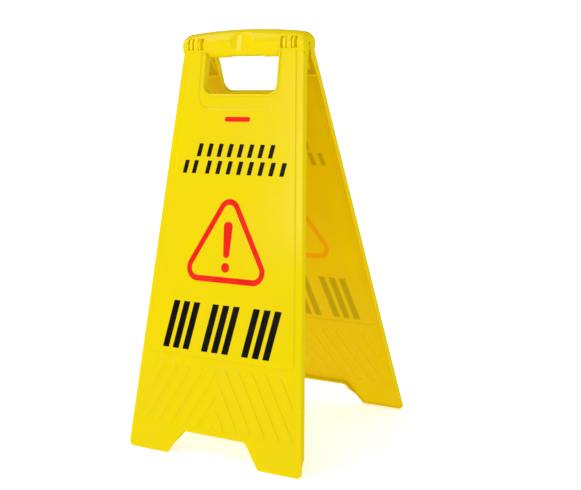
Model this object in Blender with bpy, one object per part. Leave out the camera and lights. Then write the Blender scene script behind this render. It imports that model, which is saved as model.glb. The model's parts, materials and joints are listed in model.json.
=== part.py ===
"""A-frame floor sign: two identical moulded leaves, hinged at the grip on two pins.

Each leaf is drawn in its own axes: x across the leaf, "down" along the slope from the hinge axis, and
"out" away from the other leaf. Lengths in the tables are millimetres.
"""
import math

import bmesh
import bpy
from mathutils import Matrix, Vector

MM = 0.001

# Driving dimensions
HALF_ANGLE = math.radians(13.75)     # each leaf leans this far from upright when the sign is open
SLANT = 593.5                        # hinge axis to the foot, along the outer face
AXIS_WIDTH = 205.0                   # leaf width at the hinge axis
BASE_WIDTH = 302.0                   # leaf width at the feet
FACE = 12.0                          # outer face of the leaf, measured out from the folding plane
WALL = 2.2                           # moulded wall thickness
RIM_EDGE = 3.0                       # free edge of the rim flange, out from the folding plane
FOLD_GAP = 0.15                      # each leaf stops this short of the folding plane
RAISE = 1.2                          # height of the message panel above the face

GRIP_RADIUS = 16.0                   # grip, at its ends
GRIP_BELOW = 17.2                    # its underside hangs a little lower
GRIP_ARCH = 6.8                      # extra height of the grip at mid span
GRIP_HALF_WIDTH = 104.2
GRIP_WALL = 2.5
GRIP_CORNER = 7.0                    # rounding of the grip's top corners

HANDLE_HALF_WIDTH = 62.0             # finger opening under the grip
HANDLE_BOTTOM = 70.6
HANDLE_CORNER = 13.0
LIP = 4.0                            # raised lip round the finger opening
SURROUND_HALF_WIDTH = 70.0           # sunk surround outside the lip
SURROUND_BOTTOM = 92.5
SURROUND_CORNER = 20.0

PANEL_MARGIN = 12.0                  # message panel, in from the leaf's edges
PANEL_BOTTOM = 448.0
PANEL_CORNER = 9.0

NOTCH_TOP = 558.2                    # cut-out between the feet
NOTCH_TOP_HALF = 54.5
NOTCH_FOOT_HALF = 79.0
NOTCH_CORNER = 10.0
FOOT_OUTER_CORNER = 8.0
FOOT_INNER_CORNER = 5.0
FOOT_TAPER = (566.0, 577.0)          # the rim gets shallow here, above the feet
FOOT_RIM_EDGE = 8.5

RIB_RADIUS = 6.2                     # half the width of a chevron rib
RIB_SLOPE = 0.6                      # sideways run of a rib for each millimetre down
RIB_PITCH = 23.2
RIB_TOP = 467.0
RIB_BOTTOM = 545.0
RIB_RAISE = 1.0
FIRST_RIB = 10.44                    # foot of the innermost rib, out from the centre line
OUTER_RIB_RUN = 32.0                 # the outermost rib is short

POCKET_FLOOR = 46.0                  # wall that closes the hinge pocket below the grip
PIN_RADIUS = 3.0
PIN_PLAY = 0.3
PIN_SPAN = (65.0, 97.5)
EYE_RADIUS = 9.0                     # hinge eye round the pin
EYES = ((-92.2, -88.2), (69.3, 73.3))
SADDLES = ((-76.7, -74.2), (84.8, 87.3))
WINDOWS = ((-94.0, -83.2), (-76.7, -66.0), (66.0, 76.7), (83.2, 94.0))
WINDOW_SPAN = (-9.0, 8.5)
WINDOW_DEPTH = 11.5                  # the windows stop at this radius, where the eyes' rims show
END_HOLE_RADIUS = 2.2
SCOOP_RADIUS = 46.0                  # upright hollow for the thumb at mid grip
SCOOP_DEPTH = 4.6
RELIEF_HALF_WIDTH = 28.0             # shallow relief under the grip
RELIEF_DEPTH = 1.4
GRIP_CELLS = 6

AXIS_HEIGHT = SLANT * math.cos(HALF_ANGLE) - FACE * math.sin(HALF_ANGLE)
REACH = 60.0                         # cutters run past the leaf by this much


def clear_scene():
    for obj in list(bpy.data.objects):
        bpy.data.objects.remove(obj, do_unlink=True)


def half_width(down):
    """Half the leaf's width at a distance down from the axis."""
    return (AXIS_WIDTH + (BASE_WIDTH - AXIS_WIDTH) * down / SLANT) / 2


def leaf_point(x, down, out):
    return Vector((x, -out, -down)) * MM


def rounded(corners, steps=3):
    """Closed outline through corners (x, down, radius), each one turned as an arc."""
    loop = []
    for i, (x, down, radius) in enumerate(corners):
        corner = Vector((x, down))
        if radius <= 0:
            loop.append(corner)
            continue
        before = (Vector(corners[i - 1][:2]) - corner).normalized()
        after = (Vector(corners[(i + 1) % len(corners)][:2]) - corner).normalized()
        half = before.angle(after) / 2
        centre = corner + (before + after).normalized() * (radius / math.sin(half))
        first = corner + before * (radius / math.tan(half)) - centre
        last = corner + after * (radius / math.tan(half)) - centre
        turn = first.angle_signed(last)
        for k in range(steps + 1):
            spoke = first.copy()
            spoke.rotate(Matrix.Rotation(-turn * k / steps, 2))
            loop.append(centre + spoke)
    return loop


def inset(corners, distance):
    """The same corners moved in by a distance (out when negative), with their radii to match."""
    count = len(corners)
    points = [Vector(c[:2]) for c in corners]
    area = sum(points[i - 1].x * points[i].y - points[i].x * points[i - 1].y for i in range(count))
    side = 1 if area > 0 else -1
    moved = []
    for i, (x, down, radius) in enumerate(corners):
        arrive = (points[i] - points[i - 1]).normalized()
        leave = (points[(i + 1) % count] - points[i]).normalized()
        normal_in = Vector((-arrive.y, arrive.x)) * side
        normal_out = Vector((-leave.y, leave.x)) * side
        mitre = (normal_in + normal_out) / (1 + normal_in.dot(normal_out))
        bend = (arrive.x * leave.y - arrive.y * leave.x) * side
        new_radius = radius - distance if bend > 0 else radius + distance
        point = points[i] + mitre * distance
        moved.append((point.x, point.y, max(new_radius, 0.0) if radius > 0 else 0.0))
    return moved


def object_from_bmesh(bm, name):
    bmesh.ops.recalc_face_normals(bm, faces=bm.faces)
    mesh = bpy.data.meshes.new(name)
    bm.to_mesh(mesh)
    bm.free()
    obj = bpy.data.objects.new(name, mesh)
    bpy.context.scene.collection.objects.link(obj)
    return obj


def add_prism(bm, points, travel):
    """Extrude one closed loop of points along a vector."""
    face = bm.faces.new([bm.verts.new(p) for p in points])
    extruded = bmesh.ops.extrude_face_region(bm, geom=[face])["geom"]
    bmesh.ops.translate(bm, vec=travel, verts=[v for v in extruded if isinstance(v, bmesh.types.BMVert)])


def face_prism(name, loops, out_low, out_high):
    """Outlines drawn on the leaf's face, raised from one level to another."""
    bm = bmesh.new()
    for loop in loops:
        add_prism(bm, [leaf_point(p.x, p.y, out_low) for p in loop], leaf_point(0, 0, out_high - out_low))
    return object_from_bmesh(bm, name)


def side_prism(name, sections, spans):
    """Outlines drawn in side view as (down, out), run across the leaf over each span of x."""
    bm = bmesh.new()
    for section, (x_low, x_high) in zip(sections, spans):
        loop = [leaf_point(x_low, down, out) for down, out in section]
        add_prism(bm, loop, leaf_point(x_high - x_low, 0, 0))
    return object_from_bmesh(bm, name)


def combine(target, tool, operation):
    """Add or cut one solid, and remove the tool that did it."""
    modifier = target.modifiers.new(tool.name, "BOOLEAN")
    modifier.object = tool
    modifier.operation = operation
    modifier.solver = "EXACT"
    graph = bpy.context.evaluated_depsgraph_get()
    result = bpy.data.meshes.new_from_object(target.evaluated_get(graph))
    weld(result)
    target.modifiers.clear()
    target.data = result
    bpy.data.objects.remove(tool, do_unlink=True)


def weld(mesh, distance=0.000002):
    """Merge the twin points that a cut can leave along its edge."""
    bm = bmesh.new()
    bm.from_mesh(mesh)
    bmesh.ops.remove_doubles(bm, verts=bm.verts, dist=distance)
    bmesh.ops.dissolve_degenerate(bm, dist=distance, edges=bm.edges)
    bm.to_mesh(mesh)
    bm.free()


def join(target, tool):
    combine(target, tool, "UNION")


def cut(target, tool):
    combine(target, tool, "DIFFERENCE")


def leaf_corners():
    top, base = half_width(0), half_width(SLANT)
    right = [(top, 0, 0), (base, SLANT, FOOT_OUTER_CORNER), (NOTCH_FOOT_HALF, SLANT, FOOT_INNER_CORNER),
             (NOTCH_TOP_HALF, NOTCH_TOP, NOTCH_CORNER)]
    return right + [(-x, down, radius) for x, down, radius in reversed(right)]


def panel_corners():
    edge = half_width(PANEL_BOTTOM) - PANEL_MARGIN
    top = half_width(0) - PANEL_MARGIN
    low = [(side, PANEL_BOTTOM, PANEL_CORNER) for side in (edge, -edge)]
    return [(-top, 0, 0), (top, 0, 0)] + low


def slot_corners(half, bottom, corner, top=0.0):
    return [(-half, top, 0), (half, top, 0), (half, bottom, corner), (-half, bottom, corner)]


def rib_ends():
    """Centre lines of the right-hand chevron ribs, from top to bottom."""
    ends = []
    for k in range(6):
        bottom_x = FIRST_RIB + RIB_PITCH * k
        top = max(RIB_TOP, RIB_BOTTOM - bottom_x / RIB_SLOPE)
        ends.append(((bottom_x - RIB_SLOPE * (RIB_BOTTOM - top), top), (bottom_x, RIB_BOTTOM)))
    outer_top = FIRST_RIB + RIB_PITCH * 6 - RIB_SLOPE * (RIB_BOTTOM - RIB_TOP)
    ends.append(((outer_top, RIB_TOP), (outer_top + RIB_SLOPE * OUTER_RIB_RUN, RIB_TOP + OUTER_RIB_RUN)))
    return ends


def rib_outline(start, end, radius, steps=4):
    """A long rounded bar round one centre line."""
    start, end = Vector(start), Vector(end)
    along = (end - start).normalized()
    loop = []
    for centre, facing in ((start, -along), (end, along)):
        for k in range(steps + 1):
            spoke = facing * radius
            spoke.rotate(Matrix.Rotation(math.pi * (k / steps - 0.5), 2))
            loop.append(centre + spoke)
    return loop


def grip_height(x):
    """Height of the grip's crown above the axis: a gentle arch with rounded corners."""
    crown = GRIP_RADIUS + GRIP_ARCH * (1 - (x / GRIP_HALF_WIDTH) ** 2)
    past = max(0.0, abs(x) - (GRIP_HALF_WIDTH - GRIP_CORNER))
    return crown - (GRIP_CORNER - math.sqrt(max(GRIP_CORNER ** 2 - past ** 2, 0.0)))


def grip_solid(name, stations, shrink, steps=10, back=-1.0):
    """A half-round bar lofted through stations along x, closed by a flat at its back."""
    bm = bmesh.new()
    rings = []
    for x in stations:
        high, deep, below = grip_height(x) - shrink, GRIP_RADIUS - shrink, GRIP_BELOW - shrink
        ring = []
        for k in range(steps + 1):
            angle = math.pi * k / steps
            rise = high if angle < math.pi / 2 else below
            ring.append(leaf_point(x, -rise * math.cos(angle), deep * math.sin(angle)))
        ring.append(leaf_point(x, below, back))
        ring.append(leaf_point(x, -high, back))
        rings.append([bm.verts.new(p) for p in ring])
    for left, right in zip(rings, rings[1:]):
        for k in range(len(left)):
            nxt = (k + 1) % len(left)
            bm.faces.new((left[k], left[nxt], right[nxt], right[k]))
    bm.faces.new(rings[0])
    bm.faces.new(rings[-1])
    bmesh.ops.triangulate(bm, faces=bm.faces)
    return object_from_bmesh(bm, name)


def arc(radius, start, end, steps):
    """Points (down, out) on a circle round the hinge axis; 0 is up the slope, 90 degrees is outward."""
    angles = [math.radians(start + (end - start) * k / steps) for k in range(steps + 1)]
    return [(-radius * math.cos(a), radius * math.sin(a)) for a in angles]


def shell_of_leaf():
    """The leaf's face, its rim flange and the flange round the finger opening."""
    leaf = face_prism("leaf", [rounded(leaf_corners())], FOLD_GAP, FACE)
    inner = inset(leaf_corners(), WALL)
    low = [c for c in inner if c[1] > SLANT / 2]
    high_edge = POCKET_FLOOR + WALL
    side = half_width(high_edge) - WALL
    tray = [(-side, high_edge, 0), (side, high_edge, 0)] + low
    hollow = face_prism("hollow", [rounded(tray)], -REACH, FACE - WALL)
    guard = slot_corners(HANDLE_HALF_WIDTH + WALL, HANDLE_BOTTOM + WALL, HANDLE_CORNER + WALL, top=-5.0)
    cut(hollow, face_prism("handle_flange", [rounded(guard)], -REACH - 5, FACE))
    cut(leaf, hollow)
    return leaf


def add_face_relief(leaf):
    """Raised message panel, sunk surround, raised lip and chevron ribs, each one sunk to match inside."""
    join(leaf, face_prism("message_panel", [rounded(panel_corners())], FACE - 1, FACE + RAISE))
    recess = inset(panel_corners(), 1.5)
    top = HANDLE_BOTTOM + WALL + 2
    edge = half_width(top) - PANEL_MARGIN - 1.5
    recess = [(-edge, top, 0), (edge, top, 0)] + recess[2:]
    hollow = face_prism("panel_hollow", [rounded(recess)], FACE - WALL - 1, FACE + RAISE - WALL)
    keep = slot_corners(SURROUND_HALF_WIDTH + 1.5, SURROUND_BOTTOM + 1.5, SURROUND_CORNER + 1.5)
    cut(hollow, face_prism("surround_keep", [rounded(keep)], 0, 2 * FACE))
    cut(leaf, hollow)
    surround = slot_corners(SURROUND_HALF_WIDTH, SURROUND_BOTTOM, SURROUND_CORNER, top=-1.0)
    cut(leaf, face_prism("surround", [rounded(surround, 4)], FACE, 2 * FACE))
    lip = slot_corners(HANDLE_HALF_WIDTH + LIP, HANDLE_BOTTOM + LIP, HANDLE_CORNER + LIP, top=1.0)
    join(leaf, face_prism("lip", [rounded(lip, 4)], FACE - 1, FACE + RAISE))
    for mirror in (1, -1):
        ends = [((mirror * a[0], a[1]), (mirror * b[0], b[1])) for a, b in rib_ends()]
        ribs = [rib_outline(a, b, RIB_RADIUS) for a, b in ends]
        join(leaf, face_prism("ribs", ribs, FACE - 1, FACE + RIB_RAISE))
        hollows = [rib_outline(a, b, RIB_RADIUS - 1.2) for a, b in ends]
        cut(leaf, face_prism("rib_hollows", hollows, FACE - WALL - 1, FACE + RIB_RAISE - WALL))
    hole = slot_corners(HANDLE_HALF_WIDTH, HANDLE_BOTTOM, HANDLE_CORNER, top=2.0)
    cut(leaf, face_prism("handle_hole", [rounded(hole, 4)], -REACH, REACH))


def add_grip(leaf):
    """The half-round grip, hollow behind, with its stiffening walls left between the hollows."""
    stations = [GRIP_HALF_WIDTH - GRIP_CORNER * share for share in (0.0, 0.3, 0.63, 1.0)] + [60.0, 30.0]
    stations = [-s for s in stations] + [0.0] + stations[::-1]
    join(leaf, grip_solid("grip", stations, 0.0))
    first = -HANDLE_HALF_WIDTH + WALL + 1
    pitch = (WALL - 2 * first) / GRIP_CELLS
    for k in range(GRIP_CELLS):
        low, high = first + k * pitch, first + (k + 1) * pitch - WALL
        scooped = min(abs(low), abs(high)) < pitch / 2
        cut(leaf, grip_solid("grip_cell", [low, high], GRIP_WALL + SCOOP_DEPTH * scooped, 8, -REACH))
    inner, outer = HANDLE_HALF_WIDTH + WALL, half_width(0) - WALL
    for x_low, x_high in ((-outer, -inner), (inner, outer)):
        middle = (x_low + x_high) / 2
        cut(leaf, grip_solid("hinge_cell", [x_low, middle, x_high], GRIP_WALL, 8, -REACH))
        pocket = [(x_low, 0.5, 0), (x_high, 0.5, 0), (x_high, POCKET_FLOOR, 1), (x_low, POCKET_FLOOR, 1)]
        cut(leaf, face_prism("pocket", [rounded(pocket)], -REACH, FACE - WALL))


def cut_grip_details(leaf):
    """Hinge windows, pin holes in the ends, the thumb scoop and the relief under the grip."""
    low, high = WINDOW_SPAN
    start = math.degrees(math.acos(-low / WINDOW_DEPTH))
    end = math.degrees(math.acos(-high / WINDOW_DEPTH))
    section = arc(WINDOW_DEPTH, start, end, 6) + [(high, 2 * GRIP_RADIUS), (low, 2 * GRIP_RADIUS)]
    cut(leaf, side_prism("windows", [section] * len(WINDOWS), WINDOWS))
    near, far = half_width(0) - WALL - 1, GRIP_HALF_WIDTH + 5
    ends = ((-far, -near), (near, far))
    hole = arc(END_HOLE_RADIUS, 10, 340, 11)
    cut(leaf, side_prism("end_holes", [hole] * 2, ends))
    centre = GRIP_RADIUS + SCOOP_RADIUS - SCOOP_DEPTH
    steps = 40
    turns = [math.tau * k / steps for k in range(steps)]
    circle = [(SCOOP_RADIUS * math.sin(turn), centre - SCOOP_RADIUS * math.cos(turn)) for turn in turns]
    bm = bmesh.new()
    add_prism(bm, [leaf_point(x, -REACH, out) for x, out in circle], leaf_point(0, 2 * REACH, 0))
    cut(leaf, object_from_bmesh(bm, "thumb_scoop"))
    near, far = GRIP_BELOW - RELIEF_DEPTH, GRIP_BELOW + 9
    relief = [(near, -5), (near, 8), (far, 8), (far, -5)]
    cut(leaf, side_prism("underside_relief", [relief], [(-RELIEF_HALF_WIDTH, RELIEF_HALF_WIDTH)]))


def trim_to_fold(leaf):
    """Cut the leaf back to the folding plane, to the stop above the axis, and to the floor."""
    sine, cosine = math.sin(HALF_ANGLE), math.cos(HALF_ANGLE)
    far = SLANT + REACH
    inside = [(-REACH, (FOLD_GAP + REACH * sine) / cosine), (0, FOLD_GAP / cosine),
              (GRIP_BELOW + 1, FOLD_GAP), (POCKET_FLOOR + WALL, RIM_EDGE),
              (FOOT_TAPER[0], RIM_EDGE), (FOOT_TAPER[1], FOOT_RIM_EDGE), (far, FOOT_RIM_EDGE),
              (far, -2 * REACH), (-REACH, -2 * REACH)]
    cut(leaf, side_prism("inside", [inside], [(-2 * BASE_WIDTH, 2 * BASE_WIDTH)]))
    floor = [((AXIS_HEIGHT + out * sine) / cosine, out) for out in (-REACH, REACH)]
    floor += [(far, REACH), (far, -REACH)]
    cut(leaf, side_prism("floor", [floor], [(-2 * BASE_WIDTH, 2 * BASE_WIDTH)]))


def add_hinge_walls(leaf):
    """Hinge eyes that wrap the pin, and saddle walls that bear on it, with gussets down the pockets."""
    shell = GRIP_RADIUS - GRIP_WALL / 2
    foot = [(POCKET_FLOOR - 6, FACE - 1), (POCKET_FLOOR - 6, FACE - WALL - 0.5), (GRIP_RADIUS, 2.0)]
    top_angle = math.degrees(HALF_ANGLE) + 4
    upper = arc(shell, top_angle, 130, 8)
    rest = [(GRIP_RADIUS - 3, FACE - 1)] + foot + [(GRIP_RADIUS, 0.6), (EYE_RADIUS, 0.3)]
    saddle = upper + rest + [(0, 0.35)]
    eye = upper + rest[:-1] + arc(EYE_RADIUS, 180, 360, 10)
    eye += arc(EYE_RADIUS, 0, math.degrees(HALF_ANGLE), 1)[1:]
    join(leaf, side_prism("saddles", [saddle] * len(SADDLES), SADDLES))
    join(leaf, side_prism("eyes", [eye] * len(EYES), EYES))
    bore = arc(PIN_RADIUS + PIN_PLAY, 7, 337, 22)
    reach = half_width(0) - WALL - 1
    inner = HANDLE_HALF_WIDTH + WALL + 0.5
    cut(leaf, side_prism("bores", [bore] * 2, ((-reach, -inner), (inner, reach))))


def build_leaf_mesh():
    leaf = shell_of_leaf()
    add_face_relief(leaf)
    add_grip(leaf)
    cut_grip_details(leaf)
    trim_to_fold(leaf)
    add_hinge_walls(leaf)
    mesh = leaf.data.copy()
    bpy.data.objects.remove(leaf, do_unlink=True)
    mesh.name = "leaf"
    return mesh


def build_pin_mesh():
    """A round pin with chamfered ends, along x."""
    chamfer = 0.6
    stations = ((PIN_SPAN[0], PIN_RADIUS - chamfer), (PIN_SPAN[0] + chamfer, PIN_RADIUS),
                (PIN_SPAN[1] - chamfer, PIN_RADIUS), (PIN_SPAN[1], PIN_RADIUS - chamfer))
    bm = bmesh.new()
    profile = [bm.verts.new(leaf_point(stations[0][0], 0, 0))]
    profile += [bm.verts.new(leaf_point(x, radius, 0)) for x, radius in stations]
    profile += [bm.verts.new(leaf_point(stations[-1][0], 0, 0))]
    edges = [bm.edges.new(pair) for pair in zip(profile, profile[1:])]
    bmesh.ops.spin(bm, geom=profile + edges, cent=(0, 0, 0), axis=(1, 0, 0), angle=math.tau, steps=20,
                   use_merge=True, use_duplicate=False)
    bmesh.ops.remove_doubles(bm, verts=bm.verts, dist=0.000001)
    bmesh.ops.recalc_face_normals(bm, faces=bm.faces)
    mesh = bpy.data.meshes.new("pin")
    bm.to_mesh(mesh)
    bm.free()
    return mesh


def plastic(name, colour, roughness):
    material = bpy.data.materials.new(name)
    material.use_nodes = True
    shader = material.node_tree.nodes["Principled BSDF"]
    shader.inputs["Base Color"].default_value = (*colour, 1.0)
    shader.inputs["Roughness"].default_value = roughness
    shader.inputs["Metallic"].default_value = 0.0
    return material


def place(name, mesh, parent, material, offset=(0.0, 0.0, 0.0)):
    """A named piece on the hinge axis, below its parent."""
    obj = bpy.data.objects.new(name, mesh)
    obj.parent = parent
    obj.location = offset
    bpy.context.scene.collection.objects.link(obj)
    mesh.materials.clear()
    mesh.materials.append(material)
    mesh.shade_smooth()
    mesh.set_sharp_from_angle(angle=math.radians(32))
    return obj


def axis_empty(name, turn):
    """A frame on the hinge axis, leaning one leaf out; the rear one is turned half a circle about Z."""
    empty = bpy.data.objects.new(name, None)
    lean = Matrix.Rotation(-HALF_ANGLE, 4, "X")
    empty.matrix_world = Matrix.Translation((0, 0, AXIS_HEIGHT * MM)) @ Matrix.Rotation(turn, 4, "Z") @ lean
    bpy.context.scene.collection.objects.link(empty)
    return empty


def main():
    clear_scene()
    front_axis = axis_empty("front_axis", 0.0)
    rear_axis = axis_empty("rear_axis", math.pi)
    yellow = plastic("yellow_moulding", (0.91, 0.68, 0.004), 0.28)
    pin_yellow = plastic("pin_plastic", (0.80, 0.52, 0.01), 0.4)
    leaf_mesh = build_leaf_mesh()
    place("front_panel", leaf_mesh, front_axis, yellow)
    place("rear_panel", leaf_mesh, rear_axis, yellow)
    pin_mesh = build_pin_mesh()
    place("hinge_pin_right", pin_mesh, front_axis, pin_yellow)
    place("hinge_pin_left", pin_mesh, front_axis, pin_yellow, (-(PIN_SPAN[0] + PIN_SPAN[1]) * MM, 0.0, 0.0))
    bpy.context.view_layer.update()


main()
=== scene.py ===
# %% [markdown]
# # A folding floor sign
# The sign is two identical yellow leaves, moulded in polypropylene and hinged on two pins inside a hollow
# carrying grip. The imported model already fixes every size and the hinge. This lesson builds the surface
# that a person sees: rounded mould edges, the raised message panel, the ribs, the hinge windows and the ink.
# Each leaf is drawn once in its own axes, then set in place twice, so the two can't drift apart.

import json
import math
from collections import namedtuple

import bmesh
import bpy
import numpy as np
from mathutils import Matrix, Vector

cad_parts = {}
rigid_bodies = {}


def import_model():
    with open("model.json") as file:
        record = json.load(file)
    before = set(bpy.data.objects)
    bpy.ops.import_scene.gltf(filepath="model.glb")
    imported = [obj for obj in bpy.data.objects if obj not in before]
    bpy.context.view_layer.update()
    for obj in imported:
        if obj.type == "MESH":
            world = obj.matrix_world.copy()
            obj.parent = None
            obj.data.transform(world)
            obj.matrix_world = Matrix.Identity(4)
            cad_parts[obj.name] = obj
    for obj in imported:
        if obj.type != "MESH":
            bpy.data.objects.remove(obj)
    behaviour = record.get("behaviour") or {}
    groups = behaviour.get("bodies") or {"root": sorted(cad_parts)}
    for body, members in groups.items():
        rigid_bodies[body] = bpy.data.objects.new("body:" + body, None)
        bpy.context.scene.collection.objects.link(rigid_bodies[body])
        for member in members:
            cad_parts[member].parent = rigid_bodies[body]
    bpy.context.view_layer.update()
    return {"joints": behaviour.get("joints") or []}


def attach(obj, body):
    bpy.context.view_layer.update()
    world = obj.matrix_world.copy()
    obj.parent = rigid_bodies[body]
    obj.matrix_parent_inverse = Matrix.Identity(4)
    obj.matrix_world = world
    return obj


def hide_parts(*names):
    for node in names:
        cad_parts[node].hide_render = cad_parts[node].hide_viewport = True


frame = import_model()
scene = bpy.context.scene
MM = 0.001
fold = frame["joints"][0]
HINGE = Vector(fold["pos_m"])
LEAN = math.radians(fold["range_deg"][1]) / 2
print("hinge axis", round(HINGE.z / MM, 1), "mm above the floor,",
      "each leaf leans", round(math.degrees(LEAN), 2), "degrees")

# %% [markdown]
# ## The camera
# The sign is seen from its front right, a little above mid height, through a long lens, so its edges stay
# nearly parallel. The camera is placed by turning and lifting it round a point near the sign's middle. It
# could also be aimed with a Track To constraint, but then the slight roll would need a second object.

# %% Place the camera
AZIMUTH = math.radians(33.2)
ELEVATION = math.radians(11.83)
ROLL = math.radians(3.09)
DISTANCE = 1.719
AIM_RIGHT, AIM_HEIGHT = 0.046, 0.2802
LENS = 72.27

right = Vector((math.cos(AZIMUTH), math.sin(AZIMUTH), 0.0))
back = Vector((math.sin(AZIMUTH) * math.cos(ELEVATION), -math.cos(AZIMUTH) * math.cos(ELEVATION),
               math.sin(ELEVATION)))
upward = back.cross(right)
columns = Matrix((right * math.cos(ROLL) - upward * math.sin(ROLL),
                  right * math.sin(ROLL) + upward * math.cos(ROLL), back)).transposed()


def add_object(name, data):
    added = bpy.data.objects.new(name, data)
    scene.collection.objects.link(added)
    return added


camera = add_object("camera", bpy.data.cameras.new("camera"))
camera.data.lens = LENS
camera.data.clip_end = 60.0
spot = Vector((0, 0, AIM_HEIGHT)) + right * AIM_RIGHT + back * DISTANCE
camera.matrix_world = Matrix.Translation(spot) @ columns.to_4x4()
scene.camera = camera
print("camera at", [round(v, 3) for v in spot])

# %% [markdown]
# ## The leaf's own axes
# A leaf is easiest to draw lying flat: x runs across it, "down" runs along its slope from the hinge axis,
# and "out" points away from the other leaf. A single matrix stands it up for the front, and the same matrix
# turned half a circle stands the rear leaf up.

# %% Leaf axes and driving sizes, in millimetres
FACE = 12.0                # outer face, out from the plane where the folded leaves meet
WALL = 2.2
FOLD_GAP = 0.15
TOP_WIDTH, BASE_WIDTH = 205.0, 302.0
SLANT = (HINGE.z / MM + FACE * math.sin(LEAN)) / math.cos(LEAN)
LEAVES = {"front": ("front_leaf", 0.0), "rear": ("rear_leaf", math.pi)}


def leaf_matrix(turn):
    return Matrix.Translation(HINGE) @ Matrix.Rotation(turn, 4, "Z") @ Matrix.Rotation(-LEAN, 4, "X")


def leaf_point(x, down, out):
    return Vector((x, -out, -down)) * MM


def half_width(down):
    return (TOP_WIDTH + (BASE_WIDTH - TOP_WIDTH) * down / SLANT) / 2


print("hinge to foot", round(SLANT, 1), "mm; half width at the foot", round(half_width(SLANT), 1))

# %% [markdown]
# ## Outlines that can be offset
# A moulded edge is a family of parallel outlines: each one sits a little further in and a little higher
# than the last. So an outline is kept as a few corners with radii, and every ring of the edge is worked out
# from the same corners. Because each ring then has the same number of points, rings can simply be extruded
# one into the next. A bevel on the finished solid would also round it, but a bevel fails where ribs, panel
# and rim meet within a millimetre or two. An edge's kind lets one ring use a different distance along the
# finger opening than along the rim.

# %% Corners, offsets and round stretches
STOP_GAP = 3.0             # a stop this near a corner isn't worth a point of its own
Corner = namedtuple("Corner", "x down radius kind", defaults=("rim",))


def edge_normal(a, b, side):
    along = Vector((b.x - a.x, b.down - a.down)).normalized()
    return Vector((-along.y, along.x)) * side


def offset(corners, distance):
    """Every edge moved in by one distance, or by the distance for its kind; radii follow."""
    count = len(corners)
    shift = [distance[c.kind] if isinstance(distance, dict) else distance for c in corners]
    pairs = [(corners[i - 1], corners[i]) for i in range(count)]
    area = sum(a.x * b.down - b.x * a.down for a, b in pairs)
    side = 1 if area > 0 else -1
    moved = []
    for i, corner in enumerate(corners):
        before, after = corners[i - 1], corners[(i + 1) % count]
        one, two = edge_normal(before, corner, side), edge_normal(corner, after, side)
        d_one, d_two = shift[i - 1], shift[i]
        cross = one.x * two.y - one.y * two.x
        if abs(cross) < 1e-6:
            move = one * d_one
        else:
            move = Vector((d_one * two.y - d_two * one.y, one.x * d_two - two.x * d_one)) / cross
        radius = corner.radius
        if radius > 0:
            radius = max(radius - d_two if cross * side > 0 else radius + d_two, 0.05)
        moved.append(Corner(corner.x + move.x, corner.down + move.y, radius, corner.kind))
    return moved


def rounded(corners, steps):
    """The outline's points, each with the kind of edge it belongs to."""
    points = []
    for i, corner in enumerate(corners):
        here = Vector(corner[:2])
        before, after = corners[i - 1], corners[(i + 1) % len(corners)]
        kind = before.kind if corner.kind == "hidden" else corner.kind
        if corner.radius <= 0:
            points.append((here, kind))
            continue
        to_before = (Vector(before[:2]) - here).normalized()
        to_after = (Vector(after[:2]) - here).normalized()
        half = to_before.angle(to_after) / 2
        centre = here + (to_before + to_after).normalized() * (corner.radius / math.sin(half))
        spoke = here + to_before * (corner.radius / math.tan(half)) - centre
        last = here + to_after * (corner.radius / math.tan(half)) - centre
        turn = spoke.angle_signed(last)
        for k in range(steps + 1):
            point = spoke.copy()
            point.rotate(Matrix.Rotation(-turn * k / steps, 2))
            points.append((centre + point, kind))
    return points


def with_stops(corners, stops):
    """Adds points where the outline's straight edges pass the given distances down."""
    result = []
    for a, b in zip(corners, corners[1:] + corners[:1]):
        result.append(a)
        low, high = sorted((a.down, b.down))
        found = [s for s in stops if low + STOP_GAP < s < high - STOP_GAP]
        for s in sorted(found, reverse=a.down > b.down):
            result.append(Corner(a.x + (b.x - a.x) * (s - a.down) / (b.down - a.down), s, 0.0, a.kind))
    return result


def smooth(value, low=0.0, high=1.0):
    t = min(max((value - low) / (high - low), 0.0), 1.0)
    return t * t * (3 - 2 * t)


print("outline tools ready")

# %% [markdown]
# ## Rings
# A ring is a closed loop of vertices. `grow` extrudes its edges and moves the new vertices to the next
# outline, which makes one band of the moulded edge. `fill` closes flat areas between rings, holes and all.
# Flat faces are marked, because a large flat face beside a tiny rounded one picks up a false shine unless
# its normals are held flat afterwards. `finished` counts the edges that don't join exactly two faces: a
# closed skin has none.

# %% Grow and fill rings
FOOT_SPAN = 15.0


def settle(down, out):
    """The foot is cut along the floor, so its inner side ends a little higher up the slope."""
    return down - smooth(down, SLANT - FOOT_SPAN, SLANT) * (FACE - out) * math.tan(LEAN)


def place(points, level):
    """Points of one ring in leaf axes; level gives out for a kind and a distance down."""
    placed = []
    for point, kind in points:
        out = level(kind, point.y) if callable(level) else level
        placed.append(leaf_point(point.x, settle(point.y, out), out))
    return placed


def start_ring(bm, places):
    ring = [bm.verts.new(p) for p in places]
    for a, b in zip(ring, ring[1:] + ring[:1]):
        bm.edges.new((a, b))
    return ring


def ring_edges(bm, ring):
    return [bm.edges.get((a, b)) for a, b in zip(ring, ring[1:] + ring[:1])]


def only(kind, made):
    """The vertices or the faces among what an operator made."""
    return [item for item in made["geom"] if isinstance(item, kind)]


def grow(bm, ring, places):
    fresh = set(only(bmesh.types.BMVert, bmesh.ops.extrude_edge_only(bm, edges=ring_edges(bm, ring))))
    twins = [next(e.other_vert(v) for e in v.link_edges if e.other_vert(v) in fresh) for v in ring]
    for vert, position in zip(twins, places):
        vert.co = position
    return twins


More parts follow.
